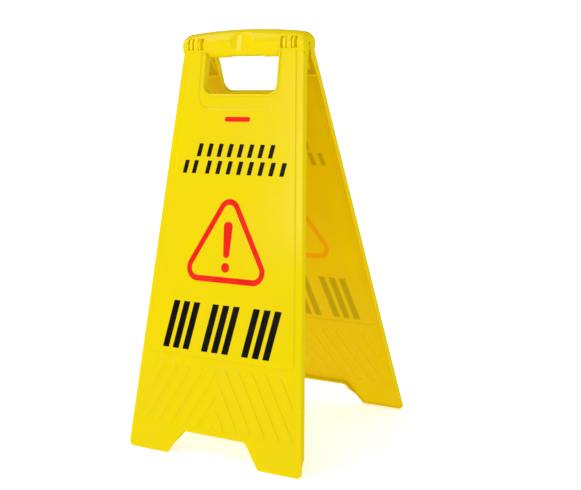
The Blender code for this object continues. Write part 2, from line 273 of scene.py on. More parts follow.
def fill(bm, rings):
    edges = [e for ring in rings for e in ring_edges(bm, ring)]
    made = bmesh.ops.triangle_fill(bm, use_beauty=True, use_dissolve=False, edges=edges, normal=(0, 1, 0))
    flat = bm.faces.layers.int["flat"]
    faces = only(bmesh.types.BMFace, made)
    for face in faces:
        face[flat] = 1
    return faces


def thicken(bm, faces, by):
    lifted = bmesh.ops.extrude_face_region(bm, geom=faces, use_keep_orig=True)
    bmesh.ops.translate(bm, vec=by, verts=only(bmesh.types.BMVert, lifted))


def to_mesh(bm, name):
    mesh = bpy.data.meshes.new(name)
    bm.to_mesh(mesh)
    bm.free()
    return mesh


def finished(bm, name):
    """The closed skin as a mesh, its faces turned outwards."""
    bmesh.ops.recalc_face_normals(bm, faces=bm.faces)
    open_edges = sum(len(e.link_faces) != 2 for e in bm.edges)
    mesh = to_mesh(bm, name)
    print(name, len(mesh.polygons), "faces,", open_edges, "open edges")
    return mesh


print("ring tools ready")

# %% [markdown]
# ## Relief on the face
# The message panel stands 1.2 mm proud so that its ink is framed. A sunk surround is left round the finger
# opening, and rounded ribs in a chevron stiffen the foot. Each is a pad: an S-shaped rise from the face to a
# flat top. The same pads are sunk into the back, because a moulding keeps one wall thickness.

# %% Pads and their outlines
RAISE, RIB_RAISE = 1.2, 1.0
SWEEP = 1.4                # half the width of a pad's S-shaped edge
PAD_STEPS, CORNER_STEPS = 6, 6
HIDDEN_SHARE = 0.1         # edges buried in the grip move by this share of a ring's distance
SEAM = 8.6                 # the raised panel runs up under the grip to here
PANEL_MARGIN, PANEL_BOTTOM, PANEL_CORNER = 12.0, 448.0, 9.0
SURROUND = (70.0, 92.5, 20.0)
OPENING = (62.0, 70.6, 13.0)
RIB_RADIUS, RIB_LEAN, RIB_PITCH, FIRST_RIB = 6.2, 0.6, 23.2, 10.44
RIB_TOP, RIB_BOTTOM = 467.0, 545.0
FULL_RIBS, OUTER_RIB_RUN = 6, 32.0
NOTCH_RADIUS = 1.5         # inner corner where two ribs meet
BAR_END = 0.995            # an end radius just under half a bar's width keeps its two corners apart


def pad(bm, corners, base, rise):
    """An S-shaped rise from base to base + rise; gives its foot ring and its top ring."""
    for k in range(PAD_STEPS + 1):
        t = k / PAD_STEPS
        distance = {"rim": SWEEP * (2 * t - 1), "hidden": HIDDEN_SHARE * SWEEP * (2 * t - 1)}
        places = place(rounded(offset(corners, distance), CORNER_STEPS), base + rise * smooth(t))
        ring = start_ring(bm, places) if k == 0 else grow(bm, ring, places)
        if k == 0:
            foot = ring
    return foot, ring


def panel_corners(inward=0.0):
    top, edge = half_width(SEAM) - PANEL_MARGIN, half_width(PANEL_BOTTOM) - PANEL_MARGIN
    half, bottom, radius = SURROUND
    right_side = [Corner(half, bottom, radius), Corner(half, SEAM, 0, "hidden"), Corner(top, SEAM, 0),
                  Corner(edge, PANEL_BOTTOM, PANEL_CORNER)]
    left_side = [Corner(-edge, PANEL_BOTTOM, PANEL_CORNER), Corner(-top, SEAM, 0, "hidden"),
                 Corner(-half, SEAM, 0), Corner(-half, bottom, radius)]
    return offset(right_side + left_side, {"rim": inward, "hidden": 0.0})


def bar_corners(start, end, radius):
    """A bar with round ends: a rectangle whose corner radius is half its width."""
    start, end = Vector(start), Vector(end)
    along = (end - start).normalized() * radius
    across = Vector((-along.y, along.x))
    spots = (start - along - across, end + along - across, end + along + across, start - along + across)
    return [Corner(p.x, p.y, radius * BAR_END) for p in spots]


def chevron_corners(apex, foot, radius):
    """Two bars that meet on the centre line, as one outline."""
    apex, foot = Vector(apex), Vector(foot)
    along = (foot - apex).normalized()
    across = Vector((along.y, -along.x))
    outer = apex + across * radius
    peak = Corner(0.0, outer.y - outer.x * along.y / along.x, radius)
    inner = apex - across * radius
    notch = Corner(0.0, inner.y - inner.x * along.y / along.x, NOTCH_RADIUS)
    tips = [foot + (along + across) * radius, foot + (along - across) * radius]
    leg = [Corner(p.x, p.y, radius * BAR_END) for p in tips]
    other = [Corner(-c.x, c.down, c.radius) for c in reversed(leg)]
    return [peak] + leg + [notch] + other


def rib_corners(shrink=0.0):
    """All rib outlines: chevrons that cross the middle, and the bars on either side."""
    radius = RIB_RADIUS - shrink
    outlines = []
    for k in range(FULL_RIBS + 1):
        foot = FIRST_RIB + RIB_PITCH * k
        top = RIB_BOTTOM - foot / RIB_LEAN
        if top > RIB_TOP:
            outlines.append(chevron_corners((0.0, top), (foot, RIB_BOTTOM), radius))
            continue
        start, end = foot - RIB_LEAN * (RIB_BOTTOM - RIB_TOP), (foot, RIB_BOTTOM)
        if k == FULL_RIBS:
            end = (start + RIB_LEAN * OUTER_RIB_RUN, RIB_TOP + OUTER_RIB_RUN)
        for mirror in (1, -1):
            outlines.append(bar_corners((mirror * start, RIB_TOP), (mirror * end[0], end[1]), radius))
    return outlines


print(len(rib_corners()), "ribs on each face")

# %% [markdown]
# ## The message in ink
# The real sign carries printed words and a pictogram. Here a generic layout of the same weight stands in:
# slanted strokes for the two lines, a red triangle with an exclamation mark, and three groups of broad
# strokes below. The outlines are used twice, once for the ink on the face, and once for the shadow that
# the ink leaves in the translucent plastic behind it.

# %% Ink outlines
STROKE_LEAN = 0.22
RING_STROKE = 8.5
SHADOW_BLUR = 1.6          # half the soft edge of the ink's shadow
# left end, right end, number of strokes, top, bottom, width of a stroke
TEXT_ROWS = ((-65, 70, 8, 142.5, 161.5, 7.4), (-88, -60, 2, 167, 186, 7.4), (-48, 91, 8, 167, 186, 7.4))
GROUP_CENTRES, GROUP_HALF, GROUP_ROW = (-69, 0, 70), 31, (3, 371, 440, 11.0)


def stroke(x, top, bottom, width, radius=0.9):
    shift = STROKE_LEAN * (bottom - top) / 2
    spots = ((x + shift - width / 2, top), (x + shift + width / 2, top),
             (x - shift + width / 2, bottom), (x - shift - width / 2, bottom))
    return [Corner(px, down, radius) for px, down in spots]


def stroke_row(left, right_end, count, top, bottom, width):
    shift = STROKE_LEAN * (bottom - top) / 2 + width / 2
    step = (right_end - left - 2 * shift) / (count - 1)
    return [stroke(left + shift + step * k, top, bottom, width) for k in range(count)]


def black_outlines(inward=0.0):
    rows = []
    for row in TEXT_ROWS:
        rows += stroke_row(*row)
    for centre in GROUP_CENTRES:
        rows += stroke_row(centre - GROUP_HALF, centre + GROUP_HALF, *GROUP_ROW)
    return [rounded(offset(corners, inward), 3) for corners in rows]


def red_outlines(inward=0.0):
    """The triangle's outer and inner outline, the exclamation mark and the small bar above."""
    ring = [Corner(0.5, 202, 19), Corner(82, 340, 19), Corner(-81, 340, 19)]
    mark = [Corner(-7.5, 253, 6), Corner(8.5, 253, 6), Corner(5.5, 304, 4.5), Corner(-4.5, 304, 4.5)]
    dot = [Corner(x + 0.5, down, 6.9) for x, down in ((-7, 311), (7, 311), (7, 325), (-7, 325))]
    bar = [Corner(x, down, 3.4) for x, down in ((-20, 104), (24, 104), (24, 111), (-20, 111))]
    edges = ((ring, inward, 12), (offset(ring, RING_STROKE), -inward, 12), (mark, inward, 6),
             (dot, inward, 8), (bar, inward, 6))
    return [rounded(offset(corners, distance), steps) for corners, distance, steps in edges]


print(len(black_outlines()), "black outlines,", len(red_outlines()), "red outlines")

# %% [markdown]
# ## The leaf
# The leaf is one closed skin. It starts as a ring round the outer face, turns down over a rounded edge into
# the rim flange, round the flange's free edge, up its inner side and onto the inner face. Along the finger
# opening the same rings rise first into a soft lip. The alternative, a sheet with a Solidify modifier, would
# give the inner face no sharp mould detail and fold over itself at the small pads.

# %% Ring profile of the rim and the lip
EDGE_ROUND = 2.2           # rounding between the face and the flange
LIP, LIP_ROUND, LIP_DROP = 4.4, 2.9, 3.6
LIP_EASE = 0.3             # the lip's rise ends this far before its rounding begins
RIM_EDGE, FOOT_RIM_EDGE = 3.0, 8.5
FREE_SOFT, ROOT_SOFT = 0.6, 0.5      # rounding of the flange's free edge and of its root
RIM_STEPS, SOFT_STEPS = 8, 3
GRIP_RADIUS, GRIP_BELOW, POCKET_FLOOR = 16.0, 17.2, 46.0
FOOT_TAPER = (566.0, 577.0)
NOTCH_TOP, NOTCH_TOP_HALF, NOTCH_FOOT_HALF = 558.2, 54.5, 79.0
PLATE_TOP = 8.0            # the plate's upper edge, hidden in the grip's wall


def rim_level(down):
    """Free edge of the flange: it meets the other leaf at the grip and is shallow at the feet."""
    return float(np.interp(down, (GRIP_BELOW + 1, POCKET_FLOOR + WALL, *FOOT_TAPER),
                           (FOLD_GAP, RIM_EDGE, RIM_EDGE, FOOT_RIM_EDGE)))


def quarter(k, count):
    angle = math.pi / 2 * k / count
    return math.sin(angle), math.cos(angle)


def face_rows():
    """Rows from the face over the edge: (rim distance, rim level, lip distance, lip level)."""
    rise, turn = 4, 6
    rows = []
    for k in range(rise + turn + 1):
        s, c = quarter(k, rise + turn)
        rim = (EDGE_ROUND * (1 - s), FACE - EDGE_ROUND * (1 - c))
        if k < rise:
            lip = (LIP - (LIP - LIP_ROUND - LIP_EASE) * k / rise, FACE + RAISE * smooth(k / rise))
        else:
            s, c = quarter(k - rise, turn)
            lip = (LIP_ROUND * (1 - s), FACE + RAISE - LIP_DROP * (1 - c))
        rows.append((*rim, *lip))
    return rows


def plate_corners():
    top, base = half_width(PLATE_TOP), half_width(SLANT)
    half, bottom, radius = OPENING
    opening = [Corner(-top, PLATE_TOP, 0, "hidden"), Corner(-half, PLATE_TOP, 0, "lip"),
               Corner(-half, bottom, radius, "lip"), Corner(half, bottom, radius, "lip"),
               Corner(half, PLATE_TOP, 0, "hidden")]
    foot = [Corner(top, PLATE_TOP, 0), Corner(base, SLANT, 8), Corner(NOTCH_FOOT_HALF, SLANT, 5),
            Corner(NOTCH_TOP_HALF, NOTCH_TOP, 10)]
    other = [Corner(-c.x, c.down, c.radius) for c in reversed(foot[1:])]
    return with_stops(opening + foot + other, (GRIP_BELOW + 1, POCKET_FLOOR + WALL, *FOOT_TAPER))


def rim_outline(corners, rim, lip):
    return rounded(offset(corners, {"rim": rim, "lip": lip, "hidden": HIDDEN_SHARE * rim}), RIM_STEPS)


def add_rim(bm):
    """Both skins' borders and the flange between them; gives the outer and the inner boundary ring."""
    corners = plate_corners()
    ring = outer = None
    for rim_d, rim_w, lip_d, lip_w in face_rows():
        levels = {"rim": rim_w, "lip": lip_w}
        places = place(rim_outline(corners, rim_d, lip_d), lambda kind, down: levels[kind])
        ring = start_ring(bm, places) if ring is None else grow(bm, ring, places)
        outer = outer or ring
    for side, start in ((1, 0.0), (-1, WALL)):
        for k in range(SOFT_STEPS + 1):
            s, c = quarter(k if side > 0 else SOFT_STEPS - k, SOFT_STEPS)
            distance, height = start + side * FREE_SOFT * (1 - c), FREE_SOFT * (1 - s)
            points = rim_outline(corners, distance, distance)
            ring = grow(bm, ring, place(points, lambda kind, down: rim_level(down) + height))
    for k in range(SOFT_STEPS + 1):
        s, c = quarter(k, SOFT_STEPS)
        distance, level = WALL + ROOT_SOFT * (1 - c), FACE - WALL - ROOT_SOFT * (1 - s)
        ring = grow(bm, ring, place(rim_outline(corners, distance, distance), level))
    return outer, ring


# %% Mark ridges and creases
LEAST_BEND, BEND_SPAN = 0.025, 0.12  # bend per millimetre where a mark begins, and the rest to full


def mark_edges(mesh):
    """How sharply the skin bends at each vertex, out or in, and whether it faces the other leaf."""
    spots = np.array([v.co for v in mesh.vertices]) / MM
    normals = np.array([v.normal for v in mesh.vertices])
    pairs = np.array([e.vertices[:] for e in mesh.edges])
    bend = np.zeros(len(spots))
    for a, b in (pairs.T, pairs.T[::-1]):
        step = spots[b] - spots[a]
        length = np.maximum((step * step).sum(axis=1), 1e-4)
        np.add.at(bend, a, (normals[a] * step).sum(axis=1) / length)
    bend /= np.maximum(np.bincount(pairs.ravel(), minlength=len(spots)), 1)
    if "flat" in mesh.attributes:
        held = [f.vertices[:] for f in mesh.polygons if mesh.attributes["flat"].data[f.index].value]
        bend[sorted({v for face in held for v in face})] = 0.0
    for name, sign in (("ridge", -1.0), ("crease", 1.0)):
        values = np.clip((sign * bend - LEAST_BEND) / BEND_SPAN, 0.0, 1.0)
        mesh.attributes.new(name, "FLOAT", "POINT").data.foreach_set("value", values)
    inside = np.clip(normals[:, 1], 0.0, 1.0)
    mesh.attributes.new("inside", "FLOAT", "POINT").data.foreach_set("value", inside)
    return mesh


# creases and the faces turned towards the other leaf get painted shade: the deeper colour stands in for
# shade there
print("ridges take the wear, creases keep the deeper colour")

# %% Build the leaf's skin
BACK_SHRINK = 1.3          # a pad's hollow is this much smaller than the pad


def leaf_mesh():
    bm = bmesh.new()
    bm.faces.layers.int.new("flat")
    for name in ("black_shadow", "red_shadow"):
        bm.verts.layers.float.new(name)
    outer, inner = add_rim(bm)
    feet = [outer]
    foot, top = pad(bm, panel_corners(), FACE, RAISE)
    feet.append(foot)
    fill(bm, [top])
    for corners in rib_corners():
        foot, top = pad(bm, corners, FACE, RIB_RAISE)
        feet.append(foot)
        fill(bm, [top])
    fill(bm, feet)
    feet = [inner]
    foot, top = pad(bm, panel_corners(BACK_SHRINK), FACE - WALL, RAISE)
    feet.append(foot)
    back = FACE + RAISE - WALL
    outside = [top]
    for name, outlines in (("black_shadow", black_outlines), ("red_shadow", red_outlines)):
        shade = bm.verts.layers.float[name]
        faint = [start_ring(bm, place(points, back)) for points in outlines(-SHADOW_BLUR)]
        full = [grow(bm, ring, place(points, back)) for ring, points in zip(faint, outlines(SHADOW_BLUR))]
        fill(bm, full)
        outside += faint
        for ring in full:
            for vert in ring:
                vert[shade] = 1.0
    fill(bm, outside)
    for corners in rib_corners(BACK_SHRINK):
        foot, top = pad(bm, corners, FACE - WALL, RIB_RAISE)
        feet.append(foot)
        fill(bm, [top])
    fill(bm, feet)
    return mark_edges(finished(bm, "leaf_skin"))


leaf_skin = leaf_mesh()

# %% [markdown]
# ## Setting a piece in place
# Every finished piece keeps its place in its mesh, with its object at the origin, so a pattern on object
# coordinates stays where it is. Normals are set by hand on the leaf: flat faces keep their own direction,
# and rounded bands blend between them by area. Elsewhere a sharp-edge angle is enough.

# %% Stand pieces up on their leaf
def steady_normals(mesh):
    """Vertex normals that leave flat faces flat and blend over the rounded bands."""
    flat = mesh.attributes["flat"].data
    blended = [Vector() for _ in mesh.vertices]
    held = {}
    for face in mesh.polygons:
        for index in face.vertices:
            if flat[face.index].value:
                held[index] = face.normal.copy()
            blended[index] += face.normal * face.area
    normals = [held.get(i, blended[i].normalized()) for i in range(len(mesh.vertices))]
    mesh.normals_split_custom_set_from_vertices(normals)


SHARP = 35                 # degrees; edges that bend more are left sharp


def stand_up(mesh, name, leaf, materials, sharp=SHARP):
    """A copy of a leaf-axes mesh, set in place on one leaf and riding with it."""
    body, turn = LEAVES[leaf]
    mesh = mesh.copy()
    mesh.name = f"{leaf}_{name}"
    mesh.transform(leaf_matrix(turn))
    for index, material in enumerate(materials):
        if index == len(mesh.materials):
            mesh.materials.append(None)
        mesh.materials[index] = material
    mesh.shade_smooth()
    if sharp is None:
        steady_normals(mesh)
    else:
        mesh.set_sharp_from_angle(angle=math.radians(sharp))
    piece = add_object(mesh.name, mesh)
    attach(piece, body)
    return piece


print("pieces will ride on", [body for body, _ in LEAVES.values()])

# %% [markdown]
# ## The grip
# Each leaf carries half of a round grip: a half pipe 16 mm in radius whose crown rises towards the middle.
# It has two hinge windows near each end, an upright hollow for the thumb, and a shallow relief below. A grid
# is bent into this form, so that its rows and columns can follow the windows exactly. Cutting the windows
# with a Boolean would leave ragged rows that are hard to round.

# %% The grip's form
GRIP_HALF, GRIP_ARCH, GRIP_CORNER, GRIP_WALL = 104.2, 6.8, 7.0, 2.5
END_ROUND, END_HOLE, END_STEPS = 1.6, 2.2, 6
SCOOP_RADIUS, SCOOP_DEPTH = 46.0, 4.6
RELIEF_HALF, RELIEF_DEPTH, RELIEF_RAMP = 28.0, 1.4, 5.0
WINDOWS = ((-94.0, -83.2), (-76.7, -66.0), (66.0, 76.7), (83.2, 94.0))
WINDOW_TOP, WINDOW_BOTTOM = -9.0, 8.5
JOIN_ANGLE = math.radians(134)       # the pipe ends here where the plate takes over
JOIN_HALF = 65.6
ROWS = (9, 7, 7, 3, 9)               # rows of faces between the key angles
FINE_HALF, FINE_GAP, COARSE_GAP = 24.0, 0.9, 3.0     # columns are close together at the thumb hollow
HOLLOW_BLEND, RELIEF_BLEND = 1.0, 0.5


def soft_min(a, b, blend):
    near = max(blend - abs(a - b), 0.0) / blend
    return min(a, b) - near * near * blend / 4


def crown(x):
    """Height of the grip above the axis."""
    high = GRIP_RADIUS + GRIP_ARCH * (1 - (x / GRIP_HALF) ** 2)
    past = max(0.0, abs(x) - (GRIP_HALF - GRIP_CORNER))
    return high - (GRIP_CORNER - math.sqrt(max(GRIP_CORNER ** 2 - past ** 2, 0.0)))


def row_angles(high, deep, below):
    """Angles of the rows: 0 is straight up the slope, 90 degrees straight out."""
    first = math.atan2(math.tan(LEAN) * high + FOLD_GAP, deep)
    window_top = math.acos(min(-WINDOW_TOP / high, 0.6))
    window_bottom = math.pi - math.acos(min(WINDOW_BOTTOM / below, 0.55))
    keys = (first, window_top, math.pi / 2, window_bottom, JOIN_ANGLE, math.pi)
    angles = [first]
    for a, b, count in zip(keys, keys[1:], ROWS):
        angles += [a + (b - a) * (k + 1) / count for k in range(count)]
    return angles


def section(high, deep, below):
    """Points (down, out) of one cross-section, top to bottom."""
    points = []
    for angle in row_angles(high, deep, below):
        rise = high if angle < math.pi / 2 else below
        points.append((-rise * math.cos(angle), max(deep * math.sin(angle), FOLD_GAP)))
    return points


def grip_column(x, shrink):
    """One body column with the thumb hollow and the relief pressed into it."""
    points = []
    for down, out in section(crown(x) - shrink, GRIP_RADIUS - shrink, GRIP_BELOW - shrink):
        if abs(x) < SCOOP_RADIUS / 2:
            hollow = GRIP_RADIUS + SCOOP_RADIUS - SCOOP_DEPTH - math.sqrt(SCOOP_RADIUS ** 2 - x * x)
            out = soft_min(out, hollow, HOLLOW_BLEND)
        relief = RELIEF_DEPTH * (1 - smooth(abs(x), RELIEF_HALF, RELIEF_HALF + RELIEF_RAMP))
        points.append((x, soft_min(down, GRIP_BELOW - relief, RELIEF_BLEND) if relief else down, out))
    return points


def spaced(values, gap):
    """Fills the gaps between sorted values so that none is wider than gap."""
    result = []
    for a, b in zip(values, values[1:]):
        count = max(1, math.ceil((b - a) / gap - 1e-6))
        result += [a + (b - a) * k / count for k in range(count)]
    return result + [values[-1]]


def grip_columns():
    """All columns from the left end's pin hole to the right end's."""
    body_end = GRIP_HALF - END_ROUND
    marks = {x for window in WINDOWS for x in window}
    marks |= {sign * x for x in (JOIN_HALF, 30.0, body_end) for sign in (1, -1)}
    marks = sorted(marks)
    fine = spaced([-FINE_HALF, FINE_HALF], FINE_GAP)
    coarse = [x for x in spaced(marks, COARSE_GAP) if abs(x) > FINE_HALF + 1]
    body = sorted(set(fine + coarse))
    columns = [grip_column(x, 0.0) for x in body]
    for sign in (-1, 1):
        end = []
        for k in range(1, END_STEPS + 1):
            s, c = quarter(k, END_STEPS)
            end.append(grip_column(sign * (body_end + END_ROUND * s), END_ROUND * (1 - c)))
        rim = end[-1]
        hole = [(sign * GRIP_HALF, down, out) for down, out in section(END_HOLE, END_HOLE, END_HOLE)]
        for t in (0.33, 0.66, 1.0):
            end.append([tuple(p + (q - p) * t for p, q in zip(a, b)) for a, b in zip(rim, hole)])
        columns = columns + end if sign > 0 else end[::-1] + columns
    return columns


# %% Build the grip
def grip_mesh():
    columns = grip_columns()
    across, along = len(columns) - 1, sum(ROWS)
    bm = bmesh.new()
    bmesh.ops.create_grid(bm, x_segments=across, y_segments=along, size=1.0)
    for vert in bm.verts:
        i, j = round((vert.co.x + 1) / 2 * across), round((vert.co.y + 1) / 2 * along)
        vert.co = leaf_point(*columns[i][j])
        vert.index = i * (along + 1) + j
    join_row = sum(ROWS[:4])
    window_rows = (ROWS[0], sum(ROWS[:3]))
    doomed = []
    for face in bm.faces:
        xs = [columns[v.index // (along + 1)][0][0] for v in face.verts]
        row = min(v.index % (along + 1) for v in face.verts)
        middle = sum(xs) / 4
        in_window = any(a < middle < b for a, b in WINDOWS) and window_rows[0] <= row < window_rows[1]
        behind_plate = JOIN_HALF < abs(middle) < GRIP_HALF - END_ROUND and row >= join_row
        if in_window or behind_plate:
            doomed.append(face)
    bmesh.ops.delete(bm, geom=doomed, context="FACES")
    bmesh.ops.recalc_face_normals(bm, faces=bm.faces)
    outward = sum(f.normal.y * f.calc_area() for f in bm.faces)
    if outward > 0:
        bmesh.ops.reverse_faces(bm, faces=bm.faces)
    mesh = to_mesh(bm, "grip")
    for _ in ("outer finish", "inner finish"):
        mesh.materials.append(None)
    return mesh


def with_modifiers(mesh, *settings):
    """The mesh as modifiers leave it."""
    helper = add_object("helper", mesh)
    for kind, values in settings:
        modifier = helper.modifiers.new(kind.lower(), kind)
        for key, value in values.items():
            setattr(modifier, key, value)
    bpy.context.view_layer.update()
    result = bpy.data.meshes.new_from_object(helper.evaluated_get(bpy.context.evaluated_depsgraph_get()))
    bpy.data.objects.remove(helper, do_unlink=True)
    return mark_edges(result)


def bevel(width, least_angle):
    """A bevel of the edges that bend by more than an angle in degrees."""
    return "BEVEL", {"width": width * MM, "segments": 2, "limit_method": "ANGLE",
                     "angle_limit": math.radians(least_angle)}


# the inner skin takes the mesh's second material
THICKEN = {"thickness": GRIP_WALL * MM, "offset": -1.0, "use_even_offset": True, "material_offset": 1}
grip = with_modifiers(grip_mesh(), ("SOLIDIFY", THICKEN), bevel(0.35, 50))
inner_faces = sum(face.material_index == 1 for face in grip.polygons)
print("grip:", len(grip.polygons), "faces,", inner_faces, "of them inside")

# %% [markdown]
# ## Inside the grip
# Behind the windows, plates hug the hinge pin: eyes that reach round it and saddles that bear on it, each
# with a gusset running down the pocket. Webs stiffen the half pipe, and a floor closes each pocket. They are
# flat outlines drawn in side view and given a thickness, then softened at their edges.

# %% Hinge walls, webs and pocket floors
EYES = ((-92.2, -88.2), (69.3, 73.3))
SADDLES = ((-76.7, -74.2), (84.8, 87.3))
EYE_RADIUS, BORE_RADIUS = 9.0, 3.3
WALL_CORE = GRIP_RADIUS - GRIP_WALL / 2
GRIP_CELLS = 6


def arc(radius, start, end, steps):
    """Points (down, out) round the hinge axis; 0 degrees is straight up the slope."""
    angles = [math.radians(start + (end - start) * k / steps) for k in range(steps + 1)]
    return [(-radius * math.cos(a), radius * math.sin(a)) for a in angles]


def hinge_outline(eye):
    """A wall in side view: under the grip's skin, down the pocket, back up and over or round the pin."""
    top = math.degrees(LEAN)
    outline = arc(WALL_CORE, top + 4, 130, 20)
    outline += [(GRIP_RADIUS - 3, FACE - 1), (POCKET_FLOOR - 6, FACE - 1),
                (POCKET_FLOOR - 6, FACE - WALL - 0.5), (GRIP_RADIUS, 2.0), (GRIP_RADIUS, 0.6)]
    if eye:
        return outline + arc(EYE_RADIUS, 180, 360, 28) + arc(EYE_RADIUS, 0, top, 2)[1:]
    return outline + [(EYE_RADIUS, 0.3), (0.0, 0.35)]


def add_plate(bm, span, outline, bore=False):
    """A plate across the leaf's x axis with an outline drawn in side view."""
    loops = [outline, arc(BORE_RADIUS, 5, 350, 23)] if bore else [outline]
    edges = []
    for loop in loops:
        edges += ring_edges(bm, start_ring(bm, [leaf_point(span[0], down, out) for down, out in loop]))
    made = bmesh.ops.triangle_fill(bm, use_beauty=True, use_dissolve=True, edges=edges, normal=(1, 0, 0))
    thicken(bm, only(bmesh.types.BMFace, made), leaf_point(span[1] - span[0], 0, 0))


def web_spans():
    first = -OPENING[0] + WALL + 1
    pitch = (WALL - 2 * first) / GRIP_CELLS
    spans = [(first + k * pitch - WALL, first + k * pitch) for k in range(1, GRIP_CELLS)]
    side = OPENING[0] + WALL - 0.1
    return spans + [(-side, first), (-first, side)]


def wall_mesh():
    bm = bmesh.new()
    for spans, eye in ((EYES, True), (SADDLES, False)):
        for span in spans:
            add_plate(bm, span, hinge_outline(eye), bore=eye)
    for span in web_spans():
        pressed = SCOOP_DEPTH if abs(sum(span)) < 1 else 0.0
        high, deep = crown(span[0]) - GRIP_WALL / 2, WALL_CORE - pressed
        add_plate(bm, span, section(high, deep, GRIP_BELOW - GRIP_WALL / 2) + [(1.0, FOLD_GAP)])
    middle = POCKET_FLOOR + WALL / 2
    edge, inner = half_width(middle) - WALL / 2, OPENING[0] + WALL / 2
    for sign in (-1, 1):
        made = bmesh.ops.create_cube(bm, size=1.0)["verts"]
        depth = FACE - WALL / 2 - RIM_EDGE
        bmesh.ops.scale(bm, vec=Vector((edge - inner, depth, WALL)) * MM, verts=made)
        spot_out = RIM_EDGE + depth / 2
        bmesh.ops.translate(bm, vec=leaf_point(sign * (edge + inner) / 2, middle, spot_out), verts=made)
    return finished(bm, "hinge_walls")


walls = with_modifiers(wall_mesh(), bevel(0.3, 40))

# %% [markdown]
# ## Ink on the face
# Screen-printed ink is a film a few hundredths of a millimetre thick. It is made as thin closed slabs that
# sit on the raised panel, because a texture would have to be an image, and a mask in the shader could not
# be measured or printed.

# %% Build the ink
INK_SINK, INK_FILM = 0.05, 0.09      # depth below the face, and thickness above it


def ink_mesh(name, outlines):
    bm = bmesh.new()
    bm.faces.layers.int.new("flat")
    base = FACE + RAISE - INK_SINK
    faces = fill(bm, [start_ring(bm, place(points, base)) for points in outlines])
    thicken(bm, faces, leaf_point(0, 0, INK_SINK + INK_FILM))
    return finished(bm, name)


black_ink = ink_mesh("black_ink", black_outlines())
red_ink = ink_mesh("red_ink", red_outlines())

# %% [markdown]
# ## Effects that the finishes share
# Every finish here varies a little over the surface, and most of that variation is the same kind: soft
# clouds of colour, a fine moulding grain, scuffs and worn ridges. Each kind is a node group, built once and
# placed in a material with that material's own colours. Copying the nodes into every material would look
# the same, but one change would then have to be made many times.

# %% Small helpers for building nodes
LOOK = ("Colour", "Roughness", "Height")     # what every look group puts out


def add_node(tree, kind, inputs=None, **settings):
    """A node with its settings made, and each named input given a value or a link."""
    node = tree.nodes.new("ShaderNode" + kind)
    for key, value in settings.items():
        setattr(node, key, value)
    for key, value in (inputs or {}).items():
        if isinstance(value, bpy.types.NodeSocket):
            tree.links.new(value, node.inputs[key])
        else:
            node.inputs[key].default_value = value
    return node


def mix_colour(tree, share, one, two):
    mix = add_node(tree, "Mix", {0: share, 6: one, 7: two}, data_type="RGBA", clamp_factor=True)
    return mix.outputs[2]


def maths(tree, operation, one, two):
    return add_node(tree, "Math", {0: one, 1: two}, operation=operation).outputs[0]


def times(tree, one, two):
    return maths(tree, "MULTIPLY", one, two)


def plus(tree, one, two):
    return maths(tree, "ADD", one, two)


def remap(tree, value, low, high, to_low, to_high):
    """Value taken from one range to another, held at its ends."""
    settings = {"Value": value, "From Min": low, "From Max": high, "To Min": to_low, "To Max": to_high}
    return add_node(tree, "MapRange", settings, interpolation_type="SMOOTHSTEP").outputs[0]


def attribute(tree, name):
    return add_node(tree, "Attribute", attribute_name=name).outputs["Fac"]


def noise(tree, place, scale, detail):
    settings = {"Vector": place, "Scale": scale, "Detail": detail}
    return add_node(tree, "TexNoise", settings).outputs[0]


def new_group(name, inputs):
    """An empty look group with its sockets, and the two nodes that carry them inside."""
    group = bpy.data.node_groups.new(name, "ShaderNodeTree")
    for title, value in inputs.items():
        colour = isinstance(value, tuple)
        kind = "NodeSocketColor" if colour else "NodeSocketFloat"
        socket = group.interface.new_socket(title, in_out="INPUT", socket_type=kind)
        socket.default_value = (*value, 1.0) if colour else value
    for title in LOOK:
        kind = "NodeSocketColor" if title == "Colour" else "NodeSocketFloat"
        group.interface.new_socket(title, in_out="OUTPUT", socket_type=kind)
    return group, group.nodes.new("NodeGroupInput"), group.nodes.new("NodeGroupOutput")


def put_out(tree, result, *values):
    """Links the look's colour, roughness and height to the group's outputs."""
    for title, value in zip(LOOK, values):
        tree.links.new(value, result.inputs[title])


print("node helpers ready")

# %% The look of moulded plastic
# the deeper colour is the moulding's own tone in soft clouds and streaks, and also painted shade in creases
# and on the inner sides
PLASTIC = {"Main": (0.822, 0.646, 0.0001), "Deep_and_shade": (0.725, 0.485, 0.0001), "Worn": (0.86, 0.72, 0.004)}
SCUFF_HEIGHT = 0.045       # metres up from the floor, where feet are dragged and kicked
CLOUDS, PEEL, GRAIN = 11.0, 330.0, 1900.0    # coarse, middle and fine variation, per metre
FLOW_SCALE = (30.0, 30.0, 3.0)       # long upright streaks, as the melt flowed
SCRATCH_SCALE, SCRATCH_TURN = (900.0, 900.0, 45.0), (0.3, 0.9, 0.2)


